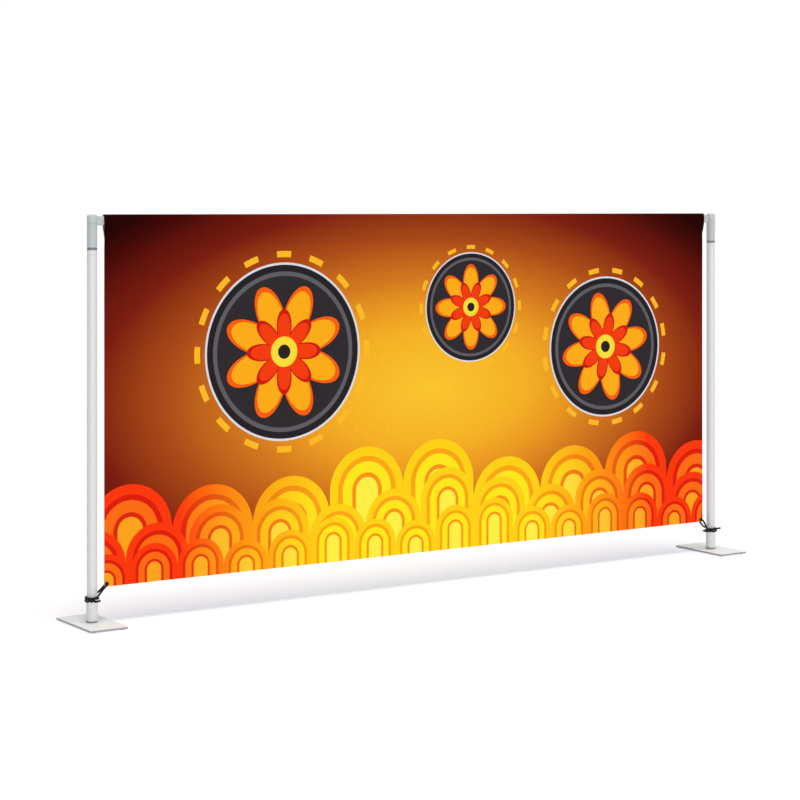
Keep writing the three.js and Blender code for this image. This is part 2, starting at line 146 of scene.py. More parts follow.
class Graph:
    """Adds nodes to a material or a node group."""

    def __init__(self, tree):
        self.tree = tree

    def feed(self, socket, value):
        """Links a socket to another node's output, or sets its value."""
        if isinstance(value, Field):
            value = value.socket
        if isinstance(value, bpy.types.NodeSocket):
            self.tree.links.new(value, socket)
        else:
            socket.default_value = value

    def node(self, kind, inputs=None, **settings):
        """A new node. Its inputs are given by name or number."""
        made = self.tree.nodes.new(kind)
        for name, value in settings.items():
            setattr(made, name, value)
        for name, value in (inputs or {}).items():
            self.feed(made.inputs[name], value)
        return made

    def math(self, operation, *values, clamp=False):
        made = self.node("ShaderNodeMath", operation=operation, use_clamp=clamp)
        for socket, value in zip(made.inputs, values):
            self.feed(socket, value)
        return Field(self, made.outputs[0])

    def distance(self, first, second):
        return self.math("SQRT", first * first + second * second)

    def mix(self, factor, first, second):
        """The first colour where the factor is 0, and the second where it is 1."""
        made = self.node("ShaderNodeMix", {0: factor}, data_type="RGBA")
        first_colour, second_colour = (socket for socket in made.inputs if socket.type == "RGBA")
        self.feed(first_colour, first)
        self.feed(second_colour, second)
        return next(socket for socket in made.outputs if socket.type == "RGBA")

    def ramp(self, factor, stops, interpolation="LINEAR"):
        """A colour for each place along a scale. The stops are (place, colour), and places may pass 1."""
        longest = max(place for place, _ in stops)
        made = self.node("ShaderNodeValToRGB", {"Fac": factor / longest})
        made.color_ramp.interpolation = interpolation
        elements = made.color_ramp.elements
        while len(elements) < len(stops):
            elements.new(0.5)
        for element, (place, colour) in zip(elements, stops):
            element.position = place / longest
            element.color = srgb(*colour)
        return made.outputs["Color"]

    def parts_of(self, vector):
        """The x, y and z of a vector."""
        split = self.node("ShaderNodeSeparateXYZ", {0: vector})
        return [Field(self, part) for part in split.outputs]

    def place(self, source="Object"):
        """Where a point of the surface lies: by default in metres, in x, y and z."""
        return self.parts_of(self.node("ShaderNodeTexCoord").outputs[source])

    def noise(self, scale, detail=3, stretch=(1, 1, 1)):
        """Soft noise from 0 to 1. The scale is in blobs for each metre."""
        x, y, z = (axis * factor for axis, factor in zip(self.place(), stretch))
        stretched = self.node("ShaderNodeCombineXYZ", {0: x, 1: y, 2: z}).outputs[0]
        inputs = {"Vector": stretched, "Scale": scale, "Detail": detail}
        return Field(self, self.node("ShaderNodeTexNoise", inputs).outputs["Fac"])

    def bump(self, height, depth):
        inputs = {"Height": height, "Distance": depth, "Strength": 1}
        return self.node("ShaderNodeBump", inputs).outputs["Normal"]


def make_material(name, uniform, build):
    """A material. Values that are the same all over go straight onto its shader."""
    material = bpy.data.materials.new(name)
    material.use_nodes = True
    shader = material.node_tree.nodes["Principled BSDF"]
    for socket, value in uniform.items():
        shader.inputs[socket].default_value = value
    graph = Graph(material.node_tree)
    for socket, value in build(graph).items():
        graph.feed(shader.inputs[socket], value)
    return material


# The print: a warm glow, rosettes on dark discs, and rows of striped arches along the lower edge
banner_low, banner_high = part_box("banner_panel")
ink_edge = 0.8 * mm  # width over which one ink turns into the next
glow_centre = (0, 0.53)  # along the banner and up
glow_reach = (1.0, 0.50)
glow_stops = [
    (0, (253, 203, 48)), (0.3, (248, 182, 38)), (0.45, (236, 157, 33)), (0.6, (211, 122, 30)),
    (0.8, (173, 77, 23)), (1.0, (124, 29, 14)), (1.2, (65, 5, 3)), (1.28, (36, 2, 1)), (1.4, (26, 1, 1)),
]
# Rows of arches from back to front: spacing, lowest and highest spring line above the lower edge, and phase
arch_rows = [
    (0.230, 0.085, 0.215, 0.9),
    (0.175, 0.040, 0.140, 2.7),
    (0.130, 0.005, 0.070, 4.4),
]
arch_skyline_step = 1.7  # radians of the skyline's wave from one arch to the next
arch_wave_share = 0.35  # of the rise of a spring line, up and down with the wave
arch_peak = 0.12  # where along the banner the skyline is highest
arch_fall = 0.62  # share of its height that it loses for each metre from there
red_from = 0.34  # distance from the middle at which the stripes begin to turn red
red_over = 0.42  # distance over which they do
red_softness = 0.05
hot_stops = [
    (0, (255, 244, 70)), (0.30, (250, 150, 24)), (0.40, (255, 236, 30)), (0.66, (252, 168, 20)),
    (0.78, (255, 214, 24)), (1, (246, 110, 18)),
]
red_stops = [
    (0, (255, 168, 30)), (0.30, (226, 40, 12)), (0.40, (255, 112, 20)), (0.66, (224, 30, 12)),
    (0.78, (255, 58, 12)), (1, (196, 18, 10)),
]
# Rosettes: place along the banner, height, radius and turn
rosettes = [(-0.46, 0.645, 0.230, 0.0), (0.13, 0.745, 0.150, 0.39), (0.60, 0.620, 0.200, 0.2)]
petals = 8
# The ink of a rosette from back to front. Sizes are shares of its radius
dash_shares = (1.06, 1.13)  # inside and outside of the ring of dashes
dash_length = 0.62  # where the sine round the ring stays under this, there is ink
dash_softness = 0.06
dash_ink = (255, 190, 40)
# Discs: size and ink
disc_layers = [(1.0, (222, 226, 230)), (0.975, (36, 35, 38)), (0.90, (94, 95, 99)), (0.85, (46, 44, 47))]
# Petals: how far they reach, the circle that they grow from, and ink
outer_petal_layers = [(0.34, 0.44, (250, 96, 14)), (0.34, 0.38, (255, 176, 24))]
inner_petal_layers = [(0.24, 0.24, (206, 26, 14)), (0.24, 0.19, (246, 62, 16))]
middle_layers = [(0.17, (255, 226, 60)), (0.08, (40, 36, 38))]


def paint_glow(graph, x, z):
    across = (x - glow_centre[0]) / glow_reach[0]
    up = (z - glow_centre[1]) / glow_reach[1]
    return graph.ramp(graph.distance(across, up), glow_stops)


def paint_arches(graph, colour, x, z):
    """Rows of arches with concentric stripes, yellow in the middle of the banner and red at its ends."""
    redness = graph.math("SMOOTH_MAX", (abs(x) - red_from) / red_over, 0, red_softness)
    for spacing, lowest, highest, phase in arch_rows:
        number = round(x / spacing + phase)
        centre = (number - phase) * spacing
        wave = (number * arch_skyline_step + phase).sin() * arch_wave_share + (1 - arch_wave_share)
        height = wave * (1 - abs(centre - arch_peak) * arch_fall)
        spring = height * (highest - lowest) + (banner_low.z + lowest)
        across = x - centre
        reach = graph.distance(across, (z - spring).at_least(0)) / (spacing / 2)
        hot = graph.ramp(reach, hot_stops, "CONSTANT")
        red = graph.ramp(reach, red_stops, "CONSTANT")
        stripes = graph.mix(redness.at_most(1), hot, red)
        colour = graph.mix(reach.below(1.0, 2 * ink_edge / spacing), colour, stripes)
    return colour


def paint_rosette(graph, colour, x, z, centre_x, centre_z, radius, turn):
    """Petals in two rings on a dark disc with pale and grey rims, and a broken ring of dashes round it."""
    soft = ink_edge / radius
    across = x - centre_x
    up = z - centre_z
    reach = graph.distance(across, up) / radius
    angle = graph.math("ARCTAN2", up, across) + turn
    outer_petal = abs((angle * (petals / 2)).sin())
    inner_petal = abs((angle * (petals / 2) + math.pi / 2).sin())
    dashes = abs((angle * petals).sin()).below(dash_length, dash_softness)
    dash_inside, dash_outside = dash_shares

    layers = [(reach.below(dash_outside, soft) * (dash_inside - reach).below(0, soft) * dashes, dash_ink)]
    layers += [(reach.below(size, soft), ink) for size, ink in disc_layers]
    for petal, petal_layers in ((outer_petal, outer_petal_layers), (inner_petal, inner_petal_layers)):
        layers += [((reach - petal * length).below(size, soft), ink) for length, size, ink in petal_layers]
    layers += [(reach.below(size, soft), ink) for size, ink in middle_layers]
    for mask, ink in layers:
        colour = graph.mix(mask, colour, srgb(*ink))
    return colour


def make_print_group():
    tree = bpy.data.node_groups.new("banner_print", "ShaderNodeTree")
    tree.interface.new_socket("Color", in_out="OUTPUT", socket_type="NodeSocketColor")
    graph = Graph(tree)
    x, _, z = graph.place()
    colour = paint_glow(graph, x, z)
    for rosette in rosettes:
        colour = paint_rosette(graph, colour, x, z, *rosette)
    colour = paint_arches(graph, colour, x, z)
    graph.node("NodeGroupOutput", {"Color": colour})
    return tree


print_group = make_print_group()

# The cloth's weave and dye. Heights are shares of the depth of the relief, and grains are for each metre
weave = 0.9 * mm  # one over and one under
thread_height = 0.5
crossing_height = 0.3
slub_height = 0.8
slub_grain = 260
slub_stretch = (1, 1, 0.2)
mottle_grain = 90
mottle_share = 0.1
mottle_ink = (60, 16, 8)
sheen_grain = 30
reverse_ground = ((226, 224, 220), (236, 234, 230))  # two tones of the back, under the dye
show_through = (0.68, 0.84)  # how much of the print is seen on the back
# The ties' braid
strands = 8  # each way
fibres = 5  # in a strand
fibre_lean = 0.5
fuzz_grain = 3000
fuzz_height = 0.6
# Patches of gloss across one patch of colour, in a speckled finish
gloss_patches = 3
# Draw lines along an upright tube and along a level one, for each metre in x, y and z
upright_lines = (1500, 1500, 6)
level_lines = (6, 1500, 1500)


def print_ink(graph):
    return graph.node("ShaderNodeGroup", node_tree=print_group).outputs["Color"]


def weave_normal(graph, depth):
    """Plain weave: warp and weft threads that take turns on top."""
    x, _, z = graph.place()
    warp = (x * (math.pi / weave)).sin()
    weft = (z * (math.pi / weave)).sin()
    height = abs(warp) * thread_height + abs(weft) * thread_height + warp * weft * crossing_height
    slubs = graph.noise(slub_grain, stretch=slub_stretch)
    return graph.bump(height + slubs * slub_height, depth)


def printed_cloth(graph):
    mottle = graph.noise(mottle_grain) * mottle_share
    return {
        "Base Color": graph.mix(mottle, print_ink(graph), srgb(*mottle_ink)),
        "Roughness": graph.noise(sheen_grain, detail=2).between(0.62, 0.74),
        "Normal": weave_normal(graph, 0.05 * mm),
    }


def cloth_reverse(graph):
    """The back, where the dyed print shows through, paler than on the front."""
    mottle = graph.noise(mottle_grain)
    ground = graph.mix(mottle, *(srgb(*tone) for tone in reverse_ground))
    return {
        "Base Color": graph.mix(mottle.between(*show_through), ground, print_ink(graph)),
        "Roughness": graph.noise(sheen_grain, detail=2).between(0.6, 0.72),
        "Normal": weave_normal(graph, 0.07 * mm),
    }


def sewing_thread(graph):
    """Thread in the colour of the print under it, a little darker, with the twist of its plies."""
    ply = 0.5 * mm
    x, _, z = graph.place()
    twist = abs(((x + z) * (math.pi / ply)).sin())
    return {
        "Base Color": graph.mix(twist.between(0.18, 0.38), print_ink(graph), srgb(28, 12, 8)),
        "Roughness": twist.between(0.45, 0.65),
        "Normal": graph.bump(twist, 0.05 * mm),
    }


def speckled(dark, light, patch=40, grain=1400, depth=0.03 * mm, roughness=(0.4, 0.55)):
    """A finish whose colour and gloss vary in soft patches, with a fine grain of the given depth."""

    def build(graph):
        return {
            "Base Color": graph.mix(graph.noise(patch), srgb(*dark), srgb(*light)),
            "Roughness": graph.noise(patch * gloss_patches).between(*roughness),
            "Normal": graph.bump(graph.noise(grain), depth),
        }

    return build


powder_coat = speckled((226, 230, 227), (234, 237, 234), patch=30, grain=900, depth=0.05 * mm)


def coated_plate(graph):
    """Satin powder coat with a fine orange peel, and painted shade that makes its upright edges darker."""
    made = powder_coat(graph)
    _, _, level = graph.parts_of(graph.node("ShaderNodeNewGeometry").outputs["Normal"])
    # Painted shade: faces that stand upright take a darker grey, in place of the shade that falls on the
    # plate's edges
    upright = abs(level).below(0.5, 0.5)
    made["Base Color"] = graph.mix(upright, made["Base Color"], srgb(150, 154, 151))
    return made


def drawn_tube(line_stretch):
    """Satin aluminium with fine draw lines along its length."""

    def build(graph):
        lines = graph.noise(1, detail=4, stretch=line_stretch)
        return {
            "Base Color": graph.mix(lines, srgb(216, 217, 215), srgb(226, 227, 225)),
            "Roughness": lines.between(0.42, 0.62),
            "Normal": graph.bump(lines, 0.02 * mm),
        }

    return build


def braided_cover(graph):
    """Fibres along each strand of the braid, from the tie's own coordinates."""
    around, along, _ = graph.place("UV")
    fibre = graph.math("FRACT", (around * strands + along * fibre_lean) * fibres)
    fuzz = graph.noise(fuzz_grain)
    return {
        "Base Color": graph.mix(fuzz, srgb(4, 4, 5), srgb(20, 20, 22)),
        "Roughness": fuzz.between(0.6, 0.85),
        "Normal": graph.bump(fibre + fuzz * fuzz_height, 0.04 * mm),
    }


def make_finishes():
    """One finish for each material slot of the record, and a few for parts of a slot."""
    satin = {"Specular IOR Level": 0.4}
    dull = {"Specular IOR Level": 0.15}
    fabric = {"Specular IOR Level": 0.02}
    fibre = {"Sheen Weight": 0.03, "Specular IOR Level": 0.15}
    satin_metal = {"Metallic": 0.1, "Specular IOR Level": 0.3}
    bare_metal = {"Metallic": 1.0}
    rubber = {"patch": 60, "grain": 1800, "depth": 0.08 * mm, "roughness": (0.7, 0.85)}
    zinc = {"patch": 200, "grain": 2500, "depth": 0.02 * mm, "roughness": (0.28, 0.42)}
    blackened = {"patch": 300, "grain": 2500, "depth": 0.02 * mm, "roughness": (0.25, 0.4)}
    # For each slot: the name of its material, what is the same all over it, and what varies
    looks = {
        "coated_steel": ("coated_socket", satin, powder_coat),
        "coated_plate": ("coated_plate", satin, coated_plate),
        "tube": ("tube_upright", satin_metal, drawn_tube(upright_lines)),
        "tube_level": ("tube_level", satin_metal, drawn_tube(level_lines)),
        "pale_nylon": ("pale_nylon", satin, speckled((217, 219, 221), (225, 227, 228))),
        "grey_nylon": ("grey_nylon", satin, speckled((181, 188, 187), (193, 199, 198))),
        "dark_nylon": ("dark_nylon", dull, speckled((9, 9, 10), (18, 18, 19))),
        "black_nylon": ("black_nylon", satin, speckled((112, 116, 117), (126, 130, 131))),
        "rubber": ("rubber", {}, speckled((34, 34, 35), (52, 52, 54), **rubber)),
        "gasket_rubber": ("gasket_rubber", {}, speckled((112, 116, 116), (130, 134, 134), **rubber)),
        "zinc_steel": ("zinc_steel", bare_metal, speckled((168, 172, 176), (192, 194, 196), **zinc)),
        "black_metal": ("black_metal", satin, speckled((26, 26, 28), (46, 46, 50), **blackened)),
        "elastic_cord": ("elastic_cord", fibre, braided_cover),
        "banner_cloth": ("printed_cloth", fabric, printed_cloth),
        "cloth_reverse": ("cloth_reverse", fabric, cloth_reverse),
        "sewing_thread": ("sewing_thread", dull, sewing_thread),
    }
    return {slot: make_material(*look) for slot, look in looks.items()}


finishes = make_finishes()


# Meshes

def make_piece(name, vertices, faces, materials, smooth=True):
    mesh = bpy.data.meshes.new(name)
    mesh.from_pydata([tuple(v) for v in vertices], [], [tuple(int(i) for i in f) for f in faces])
    for material in materials:
        mesh.materials.append(material)
    mesh.polygons.foreach_set("use_smooth", [smooth] * len(mesh.polygons))
    piece = bpy.data.objects.new(name, mesh)
    bpy.context.scene.collection.objects.link(piece)
    return piece


def grid_faces(rows, columns, closed=False):
    """Quads over points that are stored row by row. A closed grid joins its last column to its first."""
    faces = []
    for row in range(rows - 1):
        for column in range(columns if closed else columns - 1):
            here = row * columns + column
            beside = row * columns + (column + 1) % columns
            faces.append((here, beside, beside + columns, here + columns))
    return faces


# Banner cloth: sizes that the frame doesn't hold
cloth = 0.5 * mm
layer_gap = 0.04 * mm  # between two layers that are sewn together
seam_drop = 45 * mm  # axis of the rail to the seam under it
seam_overlap = 15 * mm
hem = 25 * mm
eyelet_hole = 4.2 * mm  # radius of the hole in the cloth, under the eyelet's flange
hem_settled = (1 * mm, 9 * mm)  # heights above the lower hem, between which the side hem comes down off it
hem_corner = 10 * mm  # height above the lower hem, up to which the side hem's rows are close together
hem_end_gap = 1 * mm  # from the side hem's end to the flap of the pocket

# Steps of its mesh
panel_step = 12 * mm
fine_step = 1.5 * mm
flap_step = 4 * mm
pocket_step = 5 * mm
same_place = 0.01 * mm  # points of the route that are closer than this are one
lower_round_steps = 4
upper_round_steps = 20
fold_steps = 6
hem_columns = 16
hem_corner_rows = 24
hem_upper_rows = 60

# Soft waves of the hanging cloth: height, radians for each metre along and up, and phase
cloth_waves = [(0.5 * mm, 7.3, 1.1, 0.6), (0.35 * mm, 15.1, -2.3, 2.0)]
wave_free = 0.25  # how far under the seam they have their full height
wave_calm = (0.015, 0.2)  # distances from an eyelet between which they rise
# Faint pulls that fan out from each eyelet
pull_height = 0.5 * mm
pull_rays = 14  # in a full turn round the eyelet
pull_fade = 0.16  # distance over which they fade to about a third
pull_rise = (0.02, 0.09)  # distances from the eyelet between which they rise

# Where it lies
rail_low, rail_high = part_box("rail_tube")
rail_axis = (rail_low.z + rail_high.z) / 2
_, cap_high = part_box("rail_plug_right")
pocket_rise = (rail_high.z - rail_low.z) / 2 - rail_high.y  # centres of the rail's round edges, up and down
pocket_radius = banner_high.y - cloth / 2
seam = rail_axis - seam_drop
flap_bottom = seam - seam_overlap
front = -0.15 * mm  # middle of the single layer
behind = front + cloth + layer_gap  # middle of a layer folded behind it
fold = (behind - front) / 2
bottom = banner_low.z + cloth / 2
banner_end = banner_high.x - cloth / 2
hem_edge = banner_end - fold  # where the side hem's fold begins
eyelet_low, eyelet_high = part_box("eyelet_right")
eyelet_x = (eyelet_low.x + eyelet_high.x) / 2
eyelet_z = (eyelet_low.z + eyelet_high.z) / 2


def smooth_step(value, low, high):
    t = np.clip((np.asarray(value, float) - low) / (high - low), 0, 1)
    return t * t * (3 - 2 * t)


def sway(x, z):
    """How far the hanging cloth stands from flat: long soft waves, and faint pulls from the tied corners."""
    waves = sum(height * np.sin(along * x + up * z + phase) for height, along, up, phase in cloth_waves)
    waves = waves * (1 - smooth_step(z, seam - wave_free, seam))
    pulls = 0
    for sign in sides.values():
        inwards = eyelet_x - sign * x
        away = np.hypot(inwards, z - eyelet_z)
        angle = np.arctan2(z - eyelet_z, inwards)
        waves = waves * smooth_step(away, *wave_calm)
        pulls = pulls + np.sin(angle * pull_rays) * np.exp(-away / pull_fade) * smooth_step(away, *pull_rise)
    return waves + pull_height * pulls


def touch(point, centre, radius, turn):
    """The angle on a circle at which a line from a point touches it. Turn, -1 or 1, says on which side."""
    to = np.subtract(centre, point)
    reach = np.hypot(*to)
    along = math.atan2(to[1], to[0]) + math.asin(radius / reach) * turn
    length = math.sqrt(reach ** 2 - radius ** 2)
    end = np.add(point, [length * math.cos(along), length * math.sin(along)])
    return math.atan2(end[1] - centre[1], end[0] - centre[0])


def arc(centre, radius, start, end, steps):
    return [
        (centre[0] + radius * math.cos(a), centre[1] + radius * math.sin(a))
        for a in np.linspace(start, end, steps + 1)
    ]


def line(start, end, step):
    count = max(1, round(math.dist(start, end) / step))
    return [tuple(p) for p in np.linspace(start, end, count + 1)]


def cloth_route():
    """The cloth from its flap's edge up behind the rail, over it, down the front and round the lower hem."""
    lower, upper = (0, rail_axis - pocket_rise), (0, rail_axis + pocket_rise)
    back_touch = touch((behind, seam), lower, pocket_radius, -1)
    front_touch = touch((front, seam), lower, pocket_radius, 1)
    back_arc = arc(lower, pocket_radius, back_touch, 0, lower_round_steps)
    over = arc(upper, pocket_radius, 0, math.pi, upper_round_steps)
    front_arc = arc(lower, pocket_radius, -math.pi, front_touch, lower_round_steps)
    lower_fold = arc((front + fold, bottom + fold), fold, math.pi, 2 * math.pi, fold_steps)
    near_hem = bottom + hem
    pieces = [
        line((behind, flap_bottom), (behind, seam), flap_step),
        line((behind, seam), back_arc[0], pocket_step),
        back_arc,
        line(back_arc[-1], over[0], pocket_step),
        over,
        line(over[-1], front_arc[0], pocket_step),
        front_arc,
        line(front_arc[-1], (front, seam), pocket_step),
        line((front, seam), (front, near_hem), panel_step),
        line((front, near_hem), lower_fold[0], fine_step),
        lower_fold,
        line(lower_fold[-1], (behind, near_hem), fine_step),
    ]
    route = [pieces[0][0]]
    for piece in pieces:
        route.extend(p for p in piece if math.dist(p, route[-1]) > same_place)
    return np.array(route)


def widened(z):
    """How much wider the cloth is at a height: above the seam it reaches over the rail's end and its cap."""
    return 1 + smooth_step(z, seam, rail_low.z) * (cap_high.x - hem_edge) / hem_edge


def cloth_columns():
    """Places across the banner: close together in the side hems, wider between them."""
    inner = hem_edge - hem
    right = np.linspace(inner, hem_edge, round(hem / fine_step) + 1)
    middle = np.linspace(-inner, inner, round(2 * inner / panel_step) + 1)
    return np.concatenate([-right[::-1], middle[1:-1], right])


def open_eyelets(points, faces):
    """Leaves out the faces in the eyelets and draws the points round them onto a circle."""
    points = np.array(points)
    away = np.hypot(np.abs(points[:, 0]) - eyelet_x, points[:, 2] - eyelet_z)
    inside = away < eyelet_hole - fine_step / 2
    kept = [f for f in faces if not any(inside[i] for i in f)]
    dropped = {i for f in faces if any(inside[i] for i in f) for i in f}
    for i in dropped & {i for f in kept for i in f}:
        eyelet = np.array((math.copysign(eyelet_x, points[i, 0]), eyelet_z))
        out = points[i, [0, 2]] - eyelet
        points[i, [0, 2]] = eyelet + out / np.hypot(*out) * eyelet_hole
    used = sorted({i for f in kept for i in f})
    number = {old: new for new, old in enumerate(used)}
    return points[used], [tuple(number[i] for i in f) for f in kept]


def hem_depth(z):
    """Middle of the side hem's folded layer, which lies over the lower hem near the corner."""
    start, end = hem_settled
    over_lower_hem = 1 - smooth_step(z, bottom + hem + start, bottom + hem + end)
    return behind + over_lower_hem * (cloth + layer_gap)


def side_hem(sign):
    """One side hem: round the edge of the cloth and back to its raw edge."""
    corner_top = bottom + hem + hem_corner
    heights = np.concatenate([
        np.linspace(bottom + cloth, corner_top, hem_corner_rows),
        np.linspace(corner_top, flap_bottom - hem_end_gap, hem_upper_rows)[1:],
    ])
    rows = []
    for z in heights:
        back = hem_depth(z)
        half = (back - front) / 2
        # The fold is deeper over the lower hem, but reaches no further than the banner's side
        bend = [
            (min(hem_edge + half * math.sin(a), banner_end), front + half - half * math.cos(a))
            for a in np.linspace(0, math.pi, fold_steps + 1)
        ]
        flat = [(x, back) for x in np.linspace(hem_edge, hem_edge - hem + fold, hem_columns + 1)[1:]]
        rows.append([(sign * x, y, z) for x, y in bend + flat])
    faces = grid_faces(len(rows), len(rows[0]))
    if sign > 0:
        faces = [f[::-1] for f in faces]
    return [p for row in rows for p in row], faces


def joined(grids):
    """Several (points, faces) as one."""
    points, faces = [], []
    for new_points, new_faces in grids:
        faces += [tuple(i + len(points) for i in f) for f in new_faces]
        points += [tuple(p) for p in new_points]
    return np.array(points), faces


def make_banner():
    route = cloth_route()
    columns = cloth_columns()
    points = [(x * reach, y, z) for (y, z), reach in zip(route, widened(route[:, 1])) for x in columns]
    sheet = (points, grid_faces(len(route), len(columns)))
    hems = [side_hem(sign) for sign in sides.values()]
    points, faces = joined(open_eyelets(*grid) for grid in (sheet, *hems))
    points[:, 1] += sway(points[:, 0], points[:, 2])
    faces = [f[::-1] for f in faces]
    piece = make_piece("banner_cloth", points, faces, [finishes["banner_cloth"], finishes["cloth_reverse"]])
    solidify = piece.modifiers.new("thickness", "SOLIDIFY")
    solidify.thickness = cloth
    solidify.offset = 0
    solidify.material_offset = 1  # the back takes the second material
    solidify.material_offset_rim = 0
    return piece, route


banner, banner_route = make_banner()


# Stitching
stitch_pitch = 4.2 * mm
stitch_length = 3.3 * mm
thread = 0.5 * mm
stitch_full_share = 0.3  # of its length, from the middle to where it is thickest
stitch_end_share = 0.2  # of the thread, from the cloth's face down to the tips
stitch_under_share = 0.4  # of the thread, from the cloth's face down to the underside
seam_rows = (3 * mm, 11 * mm)  # under the top of the seam
seam_row_gap = 2 * mm  # from the ends of these rows to the banner's sides
raw_edge_gap = 4 * mm  # from a raw edge to the row beside it
side_row_start = 12 * mm  # above the lower hem


def stitch_line(start, end, face):
    """Stitches along a line on one face of the cloth. Each is a small spindle, half sunk in the cloth."""
    start, end = np.array(start), np.array(end)
    length = np.linalg.norm(end - start)
    along = (end - start) / length
    out = np.array([0, face, 0])
    across = np.cross(along, out)
    count = int(length / stitch_pitch)
    tip = out * thread * stitch_end_share
    points, faces = [], []
    for place in (np.arange(count) + 0.5) * length / count:
        centre = start + along * place
        first = len(points)
        points.append(centre - along * stitch_length / 2 - tip)
        for share in (-stitch_full_share, stitch_full_share):
            middle = centre + along * stitch_length * share
            points += [middle + out * thread / 2, middle + across * thread / 2,
                       middle - out * thread * stitch_under_share, middle - across * thread / 2]
        points.append(centre + along * stitch_length / 2 - tip)
        last = len(points) - 1
        for i in range(4):
            near, near_next = first + 1 + i, first + 1 + (i + 1) % 4
            far, far_next = near + 4, near_next + 4
            faces.append((first, near, near_next))
            faces.append((near, far, far_next, near_next))
            faces.append((last, far_next, far))
    return points, faces


def stitch_rows():
    """The ends of each row in x and z: two along the seam, one along the lower hem, one up each side hem."""
    inner = hem_edge - hem
    seam_end = banner_end - seam_row_gap
    rows = [((-seam_end, seam - drop), (seam_end, seam - drop)) for drop in seam_rows]
    lower = bottom + hem - raw_edge_gap
    rows.append(((-inner, lower), (inner, lower)))
    for sign in sides.values():
        x = sign * (inner + raw_edge_gap)
        rows.append(((x, bottom + hem + side_row_start), (x, flap_bottom - raw_edge_gap)))
    return rows


def make_stitching():
    runs = []
    for (start_x, start_z), (end_x, end_z) in stitch_rows():
        for depth, face in ((front - cloth / 2, -1), (behind + cloth / 2, 1)):
            runs.append(stitch_line((start_x, depth, start_z), (end_x, depth, end_z), face))
    points, faces = joined(runs)
    points[:, 1] += sway(points[:, 0], points[:, 2])
    return make_piece("banner_stitching", points, faces, [finishes["sewing_thread"]])


stitching = make_stitching()
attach(banner, "rail_assembly")
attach(stitching, "rail_assembly")
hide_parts("banner_panel")
route_length = float(np.hypot(*np.diff(banner_route, axis=0).T).sum())
flat_width = 2 * (banner_end + hem)


# Corner ties: the route of each, from its outer tail to its inner one, in millimetres from the axis of the
# post at the top of its socket: towards the banner, back and up
tie_outer_tail = {
    "left": [(-10, -31.4, 12.2), (-10.2, -27.8, 11.2)],
    "right": [(-30.5, -18.8, 13), (-22, -22, 11.8), (-14.5, -23.9, 10.4)],
}
tie_knot_upwards = [
    (-9, -24.2, 9.7), (-4.5, -20.6, 6.1), (0, -24.2, 2.5), (4.5, -27.8, 6.1), (9, -24.2, 9.7),
]
tie_front_strand = {
    "left": [(4, -23.2, 13.4), (18.6, -15.4, 24.2), (34.2, -8.2, 34.6)],
    "right": [(24.4, -9.6, 14.4), (30.2, -8.4, 24.6), (36.2, -8.1, 34)],
}
tie_through_eyelet = [(39, -5.8, 37.2), (39.5, -1.6, 38), (39.5, 2.9, 38), (39.1, 6.6, 36.8)]
tie_back_strand = [(37, 9.4, 32.6), (26, 11.4, 21.4), (14, 13.9, 12.6), (4.2, 15.3, 9.9)]
tie_first_turn = [
    (-5.3, 14.6, 9.1), (-12.7, 8.9, 8.6), (-15.6, 0, 8.4), (-11.1, -11.1, 8.4),
    (0, -15.6, 8.3), (11.1, -11.1, 7), (15.7, 0, 5), (11.1, 11.1, 3.4),
]
tie_second_turn = [(0, 15.6, 2.8), (-11.2, 11.2, 2.8), (-15.7, 0, 2.8), (-15.7, -8, 2.8), (-13.4, -17, 2.6)]
tie_knot_downwards = [
    (-9, -24.2, 2.5), (-4.5, -27.8, 6.1), (0, -24.2, 9.7), (4.5, -20.6, 6.1), (9, -24.2, 2.5),
]
tie_inner_tail = [(13.6, -24.4, 2.6), (18.2, -24, 3.8), (22.3, -23, 4.6)]
# Knot, tails and turns are then turned round the post, by degrees away from the banner
tie_knot_turn = {"left": 28, "right": -45}
tie_radius = 2.5 * mm
tie_ring_step = 0.45 * mm
tie_sides = 40
round_tie = np.arange(tie_sides) / tie_sides  # places round the tie, as shares of a turn
strand_width = 2 * np.pi * tie_radius / strands
strand_rise = 0.16 * mm
strand_dip_share = 0.65  # of a strand's height, where it passes under another
braid_level = 0.7  # share of a strand's height that lies at the tie's radius
sealed_end = 3.5 * mm
tip_share = 0.02  # of the radius: what is left of it at the very end, where a flat face closes the tie


def centripetal(points, steps=40):
    """A smooth line through points, as the model's own cord has it."""
    points = np.array(points, float)
    line_points = []
    for i in range(len(points) - 1):
        p1, p2 = points[i], points[i + 1]
        p0 = points[i - 1] if i > 0 else 2 * p1 - p2
        p3 = points[i + 2] if i + 2 < len(points) else 2 * p2 - p1
        d0, d1, d2 = (max(np.linalg.norm(b - a) ** 0.5, 1e-4) for a, b in ((p0, p1), (p1, p2), (p2, p3)))
        t1 = ((p1 - p0) / d0 - (p2 - p0) / (d0 + d1) + (p2 - p1) / d1) * d1
        t2 = ((p2 - p1) / d1 - (p3 - p1) / (d1 + d2) + (p3 - p2) / d2) * d1
        t = np.linspace(0, 1, steps, endpoint=False)[:, None]
        squared = -3 * p1 + 3 * p2 - 2 * t1 - t2
        cubed = 2 * p1 - 2 * p2 + t1 + t2
        line_points.append(p1 + t1 * t + squared * t ** 2 + cubed * t ** 3)
    return np.concatenate([*line_points, points[-1:]])


def spaced(points, step):
    """The same line with points an even step apart, and how far along it each lies."""
    lengths = np.concatenate([[0], np.cumsum(np.linalg.norm(np.diff(points, axis=0), axis=1))])
    along = np.linspace(0, lengths[-1], round(lengths[-1] / step) + 1)
    return np.stack([np.interp(along, lengths, points[:, i]) for i in range(3)], axis=1), along


